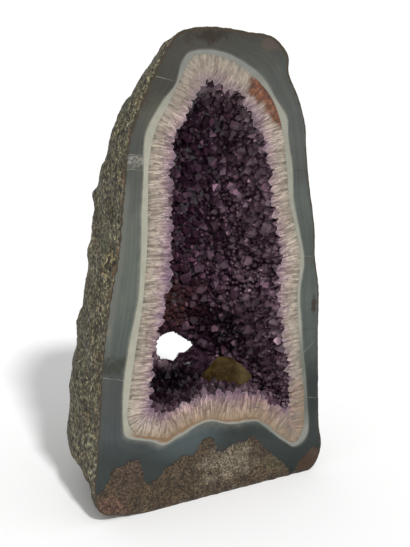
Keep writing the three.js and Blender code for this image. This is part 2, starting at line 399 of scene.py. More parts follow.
def objectPlace(tree):  # the place in millimetres, and its x, y and z
    place = put(tree, "ShaderNodeTexCoord").outputs["Object"]
    place = scaled(tree, place, (1000, 1000, 1000))
    parts = put(tree, "ShaderNodeSeparateXYZ", {0: place}).outputs
    return place, parts[0], parts[1], parts[2]


def nearSpot(tree, place, middle, reach, edge=0.35, wobble=None):  # 1 inside an oval, 0 outside it
    shift = put(tree, "ShaderNodeVectorMath", {0: place, 1: middle}, operation="SUBTRACT").outputs[0]
    size = scaled(tree, shift, tuple(1 / r for r in reach))
    far = put(tree, "ShaderNodeVectorMath", {0: size}, operation="LENGTH").outputs["Value"]
    if wobble is not None:
        far = calc(tree, "ADD", far, wobble)
    return fade(tree, far, 1 + edge, 1 - edge)


def faceSpot(tree, place, middle, reach, edge=0.35, wobble=None, deep=30):  # an oval on the face, [x, z]
    (x, z), (wide, tall) = middle, reach
    return nearSpot(tree, place, (x, faceY, z), (wide, deep, tall), edge, wobble)


def relieved(tree, shader, height, strength, distance):  # relief by bump
    keys = {"Height": height, "Strength": strength, "Distance": distance}
    setInputs(tree, shader, {"Normal": put(tree, "ShaderNodeBump", keys).outputs[0]})


def lineGroup():  # how close a place is to a straight line on the face, as a mask
    group = bpy.data.node_groups.new("crackLine", "ShaderNodeTree")
    for name, kind in (("Place", "Vector"), ("Start", "Vector"), ("End", "Vector"), ("Width", "Float")):
        group.interface.new_socket(name, in_out="INPUT", socket_type="NodeSocket" + kind)
    group.interface.new_socket("Mask", in_out="OUTPUT", socket_type="NodeSocketFloat")
    given = group.nodes.new("NodeGroupInput").outputs
    result = group.nodes.new("NodeGroupOutput").inputs[0]

    def vector(operation, a, b, output=0):
        return put(group, "ShaderNodeVectorMath", {0: a, 1: b}, operation=operation).outputs[output]

    along = vector("SUBTRACT", given["End"], given["Start"])
    toPlace = vector("SUBTRACT", given["Place"], given["Start"])
    reached = vector("DOT_PRODUCT", toPlace, along, 1)
    share = calc(group, "DIVIDE", reached, vector("DOT_PRODUCT", along, along, 1), True)
    foot = put(group, "ShaderNodeVectorMath", {0: along, "Scale": share}, operation="SCALE").outputs[0]
    away = vector("SUBTRACT", toPlace, foot)
    far = put(group, "ShaderNodeVectorMath", {0: away}, operation="LENGTH").outputs["Value"]
    taper = calc(group, "MULTIPLY", given["Width"], calc(group, "SUBTRACT", 1.25, share))
    group.links.new(calc(group, "LESS_THAN", far, taper), result)
    return group


# The stone: rough skin, polished agate rim, speckled foot

stoneLook = {
    "columns": 520,  # facets around
    "skinRows": 118,
    "agateRows": 32,
    "paleRows": 6,
    "hollowRows": 14,
    "lump": 3.2,  # height of the broad lumps
    "knobble": 1.5,  # height of the small knobs
    "knobSize": 9,
    "grit": 0.9,  # height of the finest relief
    "gritSize": 4.2,
    "pitDepth": 2.2,
    "pitSize": 6.5,
    "pitShare": 0.28,  # higher gives fewer pits
    "patchSize": 30,  # the knobs are stronger in some patches
    "holeRough": 3.5,
    "wornHeight": 7,  # of the base's worn edge
    "wornDepth": 2.4,
    "wornUneven": 2.5,
    "cornerLift": 9,  # the front left corner stands clear of the ground by this
    "liftHeight": 25,  # the lift fades out up to here
}
knobs = [  # bumps and dents of the skin: place, reach, height
    [[-122, 40, 256], 60, -17],
    [[-60, -60, 560], 36, -5],
    [[-90, -50, 516], 18, -4],
    [[-94, 12, 414], 20, -7],
    [[-103, 0, 386], 11, 9],
    [[-112, 4, 346], 18, -4],
    [[-147, 23, 68], 26, -5],
    [[-166, -70, -6], 48, -20],
    [[20, 112, 300], 34, 9],
    [[92, 60, 380], 30, 8],
    [[150, -20, 180], 26, 7],
    [[40, 40, 520], 26, 7],
]
footEdge = [  # where the brown foot meets the agate, [x, z]
    [-171, 38], [-160, 46], [-150, 60], [-146, 72], [-132, 73], [-122, 78], [-108, 77], [-104, 66],
    [-105, 53], [-102, 43], [-95, 40], [-84, 44], [-71, 57], [-60, 59], [-47, 69], [-37, 63],
    [-27, 68], [-20, 81], [-9, 84], [0, 78], [1, 66], [8, 60], [20, 64], [34, 68], [49, 67], [59, 73],
    [67, 62], [74, 50], [88, 42], [97, 30], [112, 16], [118, 2], [124, 4], [130, 17], [141, 24],
    [155, 35], [168, 28],
]
cracks = [  # [x, z] from, [x, z] to, half width, 1 for pale and 0 for dark
    [[-84, 549], [-56, 542], 0.5, 1],
    [[-97, 522], [-78, 516], 0.4, 0],
    [[-121, 462], [-98, 458], 0.5, 1],
    [[-122, 443], [-98, 441], 0.5, 1],
    [[-160, 194], [-136, 187], 0.5, 1],
    [[-136, 187], [-112, 179], 0.35, 1],
    [[108, 420], [137, 416], 0.4, 0],
    [[130, 306], [150, 303], 0.4, 1],
    [[131, 206], [157, 203], 0.4, 0],
    [[136, 173], [158, 190], 0.35, 1],
    [[145, 108], [162, 105], 0.35, 1],
]


def roughen(points):  # the lumps that the solids have too, by waves of these lengths
    x, y, z = points.T
    rise = np.clip((y - faceY) / 30, 0, 1)
    broad = np.sin(x / 17 + z / 43) * np.sin(y / 19 - x / 47)
    broad += np.sin(z / 18 + y / 51) * np.sin(x / 23 - z / 39)
    small = np.sin(x / 9 - y / 31) * np.sin(z / 10 + x / 37)
    small += np.sin(y / 10 + z / 29) * np.sin(z / 11 - x / 33)
    height = stoneLook["lump"] * (broad + 0.7 * small)
    for place, reach, tall in knobs:
        far = np.linalg.norm(points - np.array(place), axis=1)
        height += tall * np.exp(-((far / reach) ** 2))
    outward = points - np.array([0, faceY, bowls["stone"]["middle"]])
    outward /= np.linalg.norm(outward, axis=1)[:, None]
    return points + outward * (rise * height)[:, None], outward


def skinRelief(point):  # knobs, pits and grit of the crust, about -2 to 2
    look = stoneLook
    place = Vector(point)
    cell = noise.voronoi(place / look["knobSize"])[0][0]
    knob = look["knobble"] * (0.9 - 2.0 * cell)
    knob *= 0.6 + 0.6 * noise.noise(place / look["patchSize"])
    grit = look["grit"] * noise.fractal(place / look["gritSize"], 0.7, 2.2, 3)
    dip = noise.noise(place / look["pitSize"] + Vector((40, 0, 0)))
    return knob + grit - look["pitDepth"] * max(0.0, dip - look["pitShare"])


def makeStone():
    look = stoneLook
    columns = look["columns"]
    hollowEdge = evenOutline(outlines["hollow"], columns)
    paleEdge = acrossFrom(hollowEdge, outlines["paleEdge"], 0.5)
    rimEdge = acrossFrom(paleEdge, outlines["stone"], 0.4)

    rings, zones, across = [], [], []
    for turn in reversed(turns(look["skinRows"])):
        ring, outward = roughen(bowlRing("stone", rimEdge, turn))
        calm = min((ring[:, 1].mean() - faceY) / 6, 1) * 0.6 + 0.4  # less relief at the cut edge
        relief = np.array([skinRelief(point) for point in ring])
        rings.append(ring + outward * (relief * calm)[:, None])
        across.append(np.zeros(columns))
    rim = rings[-1][:, [0, 2]]
    for i in range(1, look["agateRows"] + 1):
        share = i / look["agateRows"]
        rings.append(flatRing(rim * (1 - share) + paleEdge * share))
        across.append(np.full(columns, share))
    for i in range(1, look["paleRows"] + 1):
        share = i / look["paleRows"]
        rings.append(flatRing(paleEdge * (1 - share) + hollowEdge * share))
        across.append(np.full(columns, 1 + share))
    for turn in turns(look["hollowRows"])[1:]:
        rings.append(bowlRing("hollow", hollowEdge, turn))
        across.append(np.full(columns, 2.0))
    backEnd, outward = roughen(bowlEnd("stone")[None])
    verts = np.vstack(rings + [backEnd, bowlEnd("hollow")[None]])
    faces = ringFaces(len(rings), columns)
    faceRows = look["agateRows"] + look["paleRows"]
    for row in range(len(rings) - 1):
        zone = 0 if row < look["skinRows"] - 1 else (1 if row < look["skinRows"] - 1 + faceRows else 2)
        zones += [zone] * columns
    zones += [0] * columns + [2] * columns
    stone = turnedOut(linkMesh("geodeStone", verts, faces, zones))
    setFloats(stone.data, "bandV", np.concatenate(across + [[0], [2]]))

    # distance in from the rim, for what follows the cut edge
    flat = verts[:, [0, 2]]
    onFace = np.abs(verts[:, 1] - faceY) < 0.01
    distance = np.full(len(verts), 60.0)
    for start in range(0, onFace.sum(), 2000):
        spots = np.flatnonzero(onFace)[start:start + 2000]
        distance[spots] = np.sqrt(((flat[spots, None] - rim[None]) ** 2).sum(2).min(1))
    setFloats(stone.data, "rimDistance", distance)
    return stone


def sawBase(obj, zone):  # cuts the stone flat at the ground, and wears the cut's edge
    look = stoneLook
    work = bmesh.new()
    work.from_mesh(obj.data)
    everything = work.verts[:] + work.edges[:] + work.faces[:]
    bmesh.ops.bisect_plane(
        work, geom=everything, dist=1e-6, plane_co=(0, 0, 0), plane_no=(0, 0, 1), clear_inner=True
    )
    filled = closedUp(work)
    for face in filled:
        face.material_index = zone
    bmesh.ops.triangulate(work, faces=filled)
    for vert in work.verts:
        x, y, z = vert.co / mm
        if z < look["liftHeight"] and math.hypot(x, y) > 90:
            corner = min(max((-x - 105) / 50, 0), 1) * min(max((-y - 60) / 60, 0), 1)
            depth = look["wornDepth"] + look["wornUneven"] * noise.noise(Vector((x, y, 0)) / 11)
            inward = Vector((-x, -y, 0)).normalized()
            vert.co += inward * max(0, 1 - z / look["wornHeight"]) ** 2 * depth * mm
            vert.co.z += look["cornerLift"] * mm * corner * (1 - z / look["liftHeight"])
    work.to_mesh(obj.data)
    work.free()
    return obj


def skinMaterial():
    material, tree, shader = makeMaterial("roughSkin")
    place, _, y, z = objectPlace(tree)
    broad = grain(tree, place, 0.02, 5, 0.65)
    fine = grain(tree, place, 0.19, 5, 0.75)
    clumps = grain(tree, place, 0.085, 3, 0.6)
    grains = cells(tree, shifted(tree, place, 0.16, (7, 7, 7)), 0.24)
    colour = ramp(tree, broad, [
        (0.32, (0.097, 0.076, 0.041)), (0.5, (0.138, 0.121, 0.076)), (0.68, (0.185, 0.174, 0.130)),
    ])
    # the colour is lighter on the raised grains and darker in the pits that the bump below also draws:
    # partly the skin's own speckle, partly painted light and shade of the relief
    colour = tinted(tree, colour, ramp(tree, fine, [
        (0.36, (0.05, 0.045, 0.04)), (0.46, (0.50, 0.48, 0.45)),
        (0.54, (1.15, 1.13, 1.08)), (0.64, (3.0, 2.9, 2.6)),
    ]))
    colour = tinted(tree, colour, ramp(tree, grains, [
        (0.25, (1.4, 1.4, 1.36)), (0.55, (0.85, 0.85, 0.84)), (0.85, (0.25, 0.24, 0.22)),
    ]))
    colour = tinted(tree, colour, ramp(tree, clumps, [
        (0.34, (0.5, 0.48, 0.44)), (0.5, (1, 1, 1)), (0.66, (1.5, 1.5, 1.45)),
    ]))
    flecks = fade(tree, cells(tree, place, 0.24), 0.26, 0.16)
    flecks = product(tree, flecks, fade(tree, grain(tree, place, 0.08, 3), 0.48, 0.58), 0.8)
    colour = blendOf(tree, flecks, colour, (0.44, 0.42, 0.33))
    rusty = product(
        tree, fade(tree, y, faceY + 9, faceY + 1), fade(tree, grain(tree, place, 0.05, 4), 0.48, 0.6),
        fade(tree, z, 265, 300), fade(tree, z, 505, 450), 0.8,
    )
    colour = blendOf(tree, rusty, colour, (0.17, 0.088, 0.042))
    green = grain(tree, scaled(tree, place, (1, 1, 0.5)), 0.03, 4)
    green = product(tree, fade(tree, green, 0.52, 0.66, (0, 0.6)), fine)
    colour = blendOf(tree, green, colour, (0.09, 0.11, 0.07))
    setInputs(tree, shader, {"Base Color": colour, "Roughness": 0.8})
    relief = calc(tree, "SUBTRACT", product(tree, fine, 1.1), product(tree, grains, 0.7))
    relieved(tree, shader, relief, 1.0, 0.0035)
    return material


# the right tones, darker than the left low down, are painted shade on the lower right; the darker tones at
# the top are partly the agate's own bands and partly painted shade
agateTones = {  # by height, from 0 at the ground to 1 at 600 mm
    "left": [
        (0.08, (0.020, 0.027, 0.025)), (0.15, (0.021, 0.028, 0.027)), (0.20, (0.042, 0.049, 0.050)),
        (0.30, (0.044, 0.049, 0.045)), (0.40, (0.066, 0.077, 0.069)), (0.48, (0.081, 0.092, 0.077)),
        (0.62, (0.080, 0.090, 0.076)), (0.70, (0.062, 0.068, 0.058)), (0.78, (0.050, 0.053, 0.048)),
        (0.84, (0.060, 0.060, 0.045)), (0.89, (0.037, 0.034, 0.026)), (0.98, (0.042, 0.040, 0.032)),
    ],
    "right": [
        (0.05, (0.008, 0.014, 0.012)), (0.11, (0.020, 0.027, 0.025)), (0.17, (0.011, 0.017, 0.013)),
        (0.24, (0.013, 0.019, 0.017)), (0.30, (0.045, 0.056, 0.049)), (0.42, (0.061, 0.073, 0.067)),
        (0.50, (0.049, 0.057, 0.050)), (0.64, (0.067, 0.077, 0.069)), (0.70, (0.050, 0.054, 0.048)),
        (0.77, (0.062, 0.067, 0.061)), (0.93, (0.050, 0.053, 0.047)), (1.0, (0.034, 0.033, 0.027)),
    ],
}
agateSpots = [  # [x, z], reach [x, z], colour
    [(-144, 204), (26, 10), (0.028, 0.030, 0.022)],  # dark cloud at the left
    [(-6, 591), (24, 8), (0.022, 0.015, 0.009)],  # brown cloud at the top
    [(80, 578), (16, 7), (0.066, 0.050, 0.040)],  # brown patch at the top right
    [(150, 234), (3, 11), (0.028, 0.018, 0.012)],  # brown fleck at the right
    [(-146, 251), (3, 5), (0.13, 0.12, 0.09)],  # pale fleck at the left
]
footSpots = [  # [x, z], reach [x, z], colour, share
    [(20, 42), (30, 26), (0.130, 0.110, 0.078), 0.8],  # pale grains in the middle
    [(-126, 54), (22, 22), (0.050, 0.032, 0.022), 0.8],  # brown lobe at the left
    [(-152, 18), (18, 16), (0.088, 0.048, 0.034), 0.8],  # reddish corner
    [(146, 14), (20, 18), (0.036, 0.018, 0.008), 1.0],  # dark lobe at the right
    [(88, 26), (16, 9), (0.070, 0.056, 0.030), 0.7],  # olive patch beside it
]
footSpan = 360.0  # width and height that the foot's edge is drawn over
footTop = 100.0


def agateColour(tree, place, x, z, band, rim, cloud):  # tone by height, faint bands, spots, cracks
    drift = fade(tree, grain(tree, place, 0.012, 3), 0.3, 0.7, (-0.02, 0.02))
    height = calc(tree, "ADD", calc(tree, "DIVIDE", z, 600), drift)
    left, right = ramp(tree, height, agateTones["left"]), ramp(tree, height, agateTones["right"])
    agate = blendOf(tree, fade(tree, x, -45, 60), left, right)
    layers = put(tree, "ShaderNodeCombineXYZ", {
        0: product(tree, band, 8.0), 1: product(tree, x, 0.006), 2: product(tree, z, 0.006),
    })
    bands = grain(tree, layers.outputs[0], 1.0, 3, 0.6)
    agate = tinted(tree, agate, ramp(tree, bands, [(0.3, (0.82, 0.84, 0.88)), (0.7, (1.16, 1.14, 1.10))]))
    agate = tinted(tree, agate, ramp(tree, cloud, [(0.3, (0.90, 0.90, 0.90)), (0.7, (1.11, 1.10, 1.09))]))
    outer = product(
        tree, fade(tree, rim, 13, 6), fade(tree, z, 205, 250), fade(tree, z, 440, 410),
        fade(tree, x, -20, -60, (0, 0.7)),
    )
    agate = blendOf(tree, outer, agate, (0.108, 0.112, 0.093))
    agate = blendOf(tree, faceSpot(tree, place, (-40, 87), (40, 20), 0.8), agate, (0.046, 0.061, 0.062))
    wobble = fade(tree, grain(tree, place, 0.12, 3), 0.3, 0.7, (-0.5, 0.5))
    for spot, reach, tone in agateSpots:
        agate = blendOf(tree, faceSpot(tree, place, spot, reach, 0.6, wobble), agate, tone)

    # a broken pale patch at the upper left
    broken = ramp(tree, grain(tree, scaled(tree, place, (1, 1, 2)), 0.22, 4, 0.7), [
        (0.38, (0.05, 0.048, 0.042)), (0.5, (0.13, 0.125, 0.105)), (0.62, (0.30, 0.29, 0.25)),
    ])
    patch = faceSpot(tree, place, (-110, 452), (14, 8), 0.2)
    agate = blendOf(tree, product(tree, patch, 0.8), agate, broken)

    lines = lineGroup()
    bent = shifted(tree, place, 0.09, (4, 0, 4))
    bent = put(tree, "ShaderNodeVectorMath", {0: bent, 1: (2, 0, 2)}, operation="SUBTRACT").outputs[0]
    for (startX, startZ), (endX, endZ), width, isPale in cracks:
        line = put(tree, "ShaderNodeGroup", {
            "Place": bent, "Start": (startX, faceY, startZ), "End": (endX, faceY, endZ), "Width": width,
        }, node_tree=lines)
        tone = (0.17, 0.165, 0.125) if isPale else (0.025, 0.022, 0.018)
        agate = blendOf(tree, product(tree, line.outputs[0], 0.8), agate, tone)
    return agate


def paleColour(tree, place, x, z, band, cloud):  # chalcedony, with an ochre line low on its inside
    pale = ramp(tree, grain(tree, place, 0.08, 3), [(0.3, (0.27, 0.265, 0.21)), (0.7, (0.32, 0.31, 0.25))])
    # the tints below are painted shade: darker at the top, on the right, low on the right and at the bottom
    lowRight = product(tree, fade(tree, x, 60, 100), fade(tree, z, 215, 165), fade(tree, z, 60, 95))
    for share, shade in (
        (fade(tree, z, 490, 560), (0.58, 0.60, 0.68)),
        (fade(tree, x, 20, 90), (0.80, 0.82, 0.84)),
        (lowRight, (0.50, 0.53, 0.54)),
        (fade(tree, z, 125, 100), (0.78, 0.78, 0.84)),
    ):
        pale = tinted(tree, pale, shade, share)
    inside = calc(tree, "ADD", band, fade(tree, cloud, 0.3, 0.7, (-0.2, 0.2)))
    ochre = product(
        tree, fade(tree, z, 118, 106), fade(tree, x, 80, 60), fade(tree, inside, 1.35, 1.8), 0.85
    )
    return blendOf(tree, ochre, pale, (0.17, 0.085, 0.030))


def aboveFoot(tree, place, x, z):  # how far a place lies above the foot's ragged edge
    curve = tree.nodes.new("ShaderNodeFloatCurve")
    line = curve.mapping.curves[0]
    knots = [((px + footSpan / 2) / footSpan, pz / footTop) for px, pz in footEdge]
    line.points[0].location = knots[0]
    line.points[-1].location = knots[-1]
    for knot in knots[1:-1]:
        line.points.new(*knot)
    for point in line.points:
        point.handle_type = "VECTOR"
    curve.mapping.update()
    bentX = calc(tree, "ADD", x, fade(tree, grain(tree, place, 0.16, 4, 0.6), 0.2, 0.8, (-3.5, 3.5)))
    along = calc(tree, "DIVIDE", calc(tree, "ADD", bentX, footSpan / 2), footSpan)
    tree.links.new(along, curve.inputs["Value"])
    ragged = fade(tree, grain(tree, place, 0.25, 3), 0.2, 0.8, (-2, 2))
    edge = calc(tree, "ADD", product(tree, curve.outputs[0], footTop), ragged)
    return calc(tree, "SUBTRACT", z, edge)


def footColour(tree, place, lumpy):  # brown granular rock
    rock = ramp(tree, lumpy, [
        (0.3, (0.026, 0.017, 0.010)), (0.5, (0.044, 0.030, 0.017)), (0.7, (0.072, 0.054, 0.033)),
    ])
    wobble = fade(tree, grain(tree, place, 0.05, 4), 0.3, 0.7, (-0.6, 0.6))
    for spot, reach, tone, share in footSpots:
        mask = product(tree, faceSpot(tree, place, spot, reach, 0.6, wobble), share)
        rock = blendOf(tree, mask, rock, tone)
    specks = ramp(tree, cellTone(tree, place, 0.55), [
        (0.2, (0.35, 0.32, 0.3)), (0.5, (0.9, 0.9, 0.9)), (0.8, (2.1, 2.05, 1.95)),
    ])
    smoothLobe = faceSpot(tree, place, (146, 14), (22, 22), 0.2)
    return tinted(tree, rock, specks, calc(tree, "SUBTRACT", 0.9, product(tree, smoothLobe, 0.6)))


def polishedMaterial():
    material, tree, shader = makeMaterial("polishedAgate")
    place, x, _, z = objectPlace(tree)
    band = layerValue(tree, "bandV")
    rim = layerValue(tree, "rimDistance")
    cloud = grain(tree, place, 0.05, 5, 0.6)
    lumpy = grain(tree, place, 0.07, 6, 0.7)
    agate = agateColour(tree, place, x, z, band, rim, cloud)
    pale = paleColour(tree, place, x, z, band, cloud)
    bent = calc(tree, "ADD", band, fade(tree, cloud, 0.3, 0.7, (-0.03, 0.03)))
    colour = blendOf(tree, fade(tree, bent, 0.88, 1.22), agate, pale)

    above = aboveFoot(tree, place, x, z)
    isFoot = calc(tree, "LESS_THAN", above, 0)
    colour = blendOf(tree, isFoot, colour, footColour(tree, place, lumpy))
    darkLine = calc(tree, "LESS_THAN", calc(tree, "ABSOLUTE", above), 0.9)
    colour = blendOf(tree, darkLine, colour, (0.018, 0.014, 0.011))
    # a near-black spot low on the right: painted shadow in a notch of the stone's edge
    notchShadow = faceSpot(tree, place, (120, 4), (4, 6), 0.2)
    colour = blendOf(tree, notchShadow, colour, (0.006, 0.006, 0.006))

    # the skin's cut edge is a thin brown line, wider at the top
    ragged = calc(tree, "ADD", rim, fade(tree, grain(tree, place, 0.14, 4), 0.25, 0.75, (-1.3, 1.3)))
    ragged = calc(tree, "SUBTRACT", ragged, fade(tree, z, 470, 570, (0, 1.5)))
    colour = blendOf(tree, fade(tree, ragged, 2.9, 1.5), colour, (0.040, 0.029, 0.018))
    dull = fade(tree, above, 0.5, -0.5, (0.2, 0.5))  # the foot is less polished
    setInputs(tree, shader, {
        "Base Color": colour, "Roughness": dull, "IOR": 1.5, "Specular IOR Level": 0.3,
    })
    relieved(tree, shader, product(tree, lumpy, isFoot), 0.35, 0.001)
    return material


def brokenMaterial():
    material, tree, shader = makeMaterial("brokenStone")
    place = objectPlace(tree)[0]
    rough = grain(tree, place, 0.08, 6, 0.65)
    colour = ramp(tree, rough, [
        (0.3, (0.05, 0.045, 0.035)), (0.5, (0.12, 0.11, 0.085)), (0.7, (0.22, 0.21, 0.17)),
    ])
    setInputs(tree, shader, {"Base Color": colour, "Roughness": 0.8})
    relieved(tree, shader, rough, 0.8, 0.003)
    return material


def sawnMaterial():
    material, tree, shader = makeMaterial("sawnBase")
    place = objectPlace(tree)[0]
    rough = grain(tree, place, 0.06, 6, 0.7)
    colour = ramp(tree, rough, [
        (0.3, (0.05, 0.04, 0.03)), (0.5, (0.09, 0.075, 0.055)), (0.7, (0.15, 0.13, 0.1)),
    ])
    keys = {"Vector": place, "Scale": 0.25, "Distortion": 1.5}
    marks = put(tree, "ShaderNodeTexWave", keys, bands_direction="Y").outputs[1]
    colour = tinted(tree, colour, blendOf(tree, marks, (0.6, 0.6, 0.6), (1.2, 1.2, 1.2)), 0.35)
    setInputs(tree, shader, {"Base Color": colour, "Roughness": 0.6})
    return material


print("stone")
stone = sawBase(makeStone(), 3)
stoneHole = holeCutter("stoneHole", stoneLook["holeRough"])
broken = brokenMaterial()
for material in (skinMaterial(), polishedMaterial(), broken, sawnMaterial()):
    stone.data.materials.append(material)
stoneHole.data.materials.append(broken)
cutAway(stone, stoneHole)
stone.data.polygons.foreach_set("use_smooth", [True] * len(stone.data.polygons))
stone.data.set_sharp_from_angle(angle=math.radians(62))


# The crust's root: milky quartz that lines the hollow

liningLook = {
    "columns": 360,
    "frontRows": 12,
    "backRows": 56,
    "wallRows": 16,
    "gap": 0.5,  # between the crust's back and the stone
    "seam": 0.06,  # the same along the face
    "recess": 0.7,  # how far the crust's edge in front is dished
    "drusy": 1.4,  # height of the finest relief
}


def makeLining():
    look = liningLook
    columns = look["columns"]
    inner = evenOutline(outlines["crystal"], columns)
    outer = acrossFrom(inner, outlines["hollow"], 0.7)
    inward = outer.mean(0) - outer
    outer = outer + inward * (look["seam"] / np.linalg.norm(inward, axis=1))[:, None]
    gap = np.array([0, look["gap"], 0])
    rings = [bowlRing("hollow", outer, turn) - gap for turn in reversed(turns(look["wallRows"])[1:])]
    for i in range(look["frontRows"] + 1):
        share = i / look["frontRows"]
        depth = look["recess"] * (0.03 + share)
        rings.append(flatRing(outer * (1 - share) + inner * share, faceY + depth))
    for turn in turns(look["backRows"])[1:]:
        ring = bowlRing("crystal", inner, turn)
        for k, point in enumerate(ring):
            inward = Vector((0, faceY + 40, point[2])) - Vector(point)
            ring[k] += np.array(inward.normalized()) * look["drusy"] * noise.noise(Vector(point) / 6)
        rings.append(ring)
    ends = [bowlEnd("hollow")[None] - gap, bowlEnd("crystal")[None]]
    return turnedOut(linkMesh("quartzLining", np.vstack(rings + ends), ringFaces(len(rings), columns)))


def markGrowth(obj, wall):  # how far each vertex has grown from the wall, and where it is rooted
    growth, root = [], []
    for point in placesOf(obj.data):
        spot, _, _, far = wall.find_nearest(Vector(point))
        growth.append(far)
        root.append(spot)
    setFloats(obj.data, "growth", growth)
    setVectors(obj.data, "root", np.array(root))


stains = [(58, 527), (69, 516), (80, 504), (90, 488)]  # the rust at the upper right, [x, z]
wallSpots = [  # of the crystals: middle, reach, colour, share
    [(0, 10, 215), (46, 70, 45), (0.120, 0.050, 0.038), 0.62],  # brown round the hole
    [(-18, -52, 136), (54, 54, 32), (0.004, 0.002, 0.004), 0.95],  # painted shadow on the floor behind the lip
    [(78, 8, 180), (32, 48, 32), (0.016, 0.006, 0.011), 0.75],  # painted shade on the wall behind the calcite
    [(112, -90, 135), (24, 32, 30), (0.22, 0.125, 0.165), 0.6],  # painted light low on the right
    [(75, -90, 392), (26, 42, 42), (0.19, 0.105, 0.150), 0.5],  # painted light at the upper right
    [(-14, 2, 155), (15, 28, 11), (0.36, 0.24, 0.28), 0.9],  # pale crystals under the hole
]


def quartzMaterial(name, isCut):  # milky at the root and violet further out
    material, tree, shader = makeMaterial(name)
    place, x, y, z = objectPlace(tree)
    growth = layerValue(tree, "growth")
    root = layerVector(tree, "root")
    lean = scaled(tree, place, (0.16, 0.16, 0.16))
    leaned = put(tree, "ShaderNodeVectorMath", {0: root, 1: lean}, operation="ADD").outputs[0]
    streaks = fade(tree, grain(tree, root, 0.2, 4, 0.75), 0.25, 0.75, (-6, 6))
    colour = ramp(tree, calc(tree, "DIVIDE", calc(tree, "ADD", growth, streaks), 50), [
        (0.0, (0.17, 0.15, 0.122)), (0.06, (0.25, 0.213, 0.170)), (0.30, (0.30, 0.243, 0.198)),
        (0.42, (0.31, 0.236, 0.212)), (0.53, (0.255, 0.178, 0.190)), (0.63, (0.160, 0.095, 0.125)),
        (0.75, (0.088, 0.045, 0.074)), (0.90, (0.055, 0.026, 0.050)),
    ])
    threads = ramp(tree, grain(tree, leaned, 0.55, 4, 0.75), [
        (0.32, (0.60, 0.56, 0.54)), (0.5, (1, 1, 1)), (0.66, (1.3, 1.32, 1.32)),
    ])
    needles = ramp(tree, cellTone(tree, leaned, 0.34), [
        (0.2, (0.66, 0.62, 0.58)), (0.5, (1, 1, 1)), (0.8, (1.32, 1.34, 1.34)),
    ])
    fibres = tinted(tree, threads, needles)
    colour = tinted(tree, colour, fibres)
    mottle = ramp(tree, grain(tree, place, 0.16, 4, 0.7), [
        (0.32, (0.68, 0.66, 0.62)), (0.5, (1, 1, 1)), (0.68, (1.2, 1.2, 1.2)),
    ])
    colour = tinted(tree, colour, mottle, 0.8)
    prisms = fade(tree, cells(tree, leaned, 0.30, "DISTANCE_TO_EDGE"), 0.13, 0.02)
    gaps = product(tree, prisms, fade(tree, growth, 4, 18), 0.6)
    colour = blendOf(tree, gaps, colour, (0.080, 0.048, 0.075))
    # greyer and darker towards the top: painted shade
    colour = blendOf(tree, fade(tree, z, 470, 540, (0, 0.4)), colour, (0.19, 0.165, 0.125))
    # darker and warmer at the bottom, except at the left: painted shade
    lowMiddle = product(tree, fade(tree, z, 150, 120), fade(tree, x, -100, -50))
    colour = tinted(tree, colour, (0.84, 0.73, 0.66), lowMiddle)
    warm = product(tree, fade(tree, z, 128, 112), fade(tree, growth, 14, 2), 0.4)
    colour = blendOf(tree, warm, colour, (0.22, 0.13, 0.065))
    patches = grain(tree, place, 0.09, 4)
    # patchy darker grey low on the right: painted shade
    patchyRightShade = product(
        tree, fade(tree, x, 80, 105), fade(tree, z, 240, 190), fade(tree, patches, 0.4, 0.6), 0.4
    )
    colour = blendOf(tree, patchyRightShade, colour, (0.13, 0.125, 0.095))
    rust = ramp(tree, grain(tree, place, 0.15, 4), [
        (0.35, (0.056, 0.017, 0.006)), (0.52, (0.105, 0.031, 0.010)), (0.68, (0.20, 0.080, 0.036)),
    ])
    rust = tinted(tree, rust, fibres)
    wobble = fade(tree, patches, 0.25, 0.75, (-0.3, 0.3))
    for spot in stains:
        colour = blendOf(tree, faceSpot(tree, place, spot, (12, 12), 0.45, wobble, 25), colour, rust)
    if isCut:
        shade = ramp(tree, layerValue(tree, "tone"), [(0.0, (0.80, 0.77, 0.80)), (1.0, (1.18, 1.15, 1.18))])
        colour = tinted(tree, colour, shade, fade(tree, growth, 6, 20))
        edge = fade(tree, layerValue(tree, "outline"), 0.35, 0.8)
        edge = product(tree, edge, fade(tree, growth, 20, 27), 0.65)
        colour = blendOf(tree, edge, colour, (0.47, 0.40, 0.42))
    else:
        # behind the face the lining turns near-black: painted shade deep in the hollow
        deep = fade(tree, y, faceY + 1.5, faceY + 8)
        colour = blendOf(tree, deep, colour, (0.022, 0.010, 0.018))
    setInputs(tree, shader, {"Base Color": colour, "Roughness": 0.22, "IOR": 1.5})
    return material


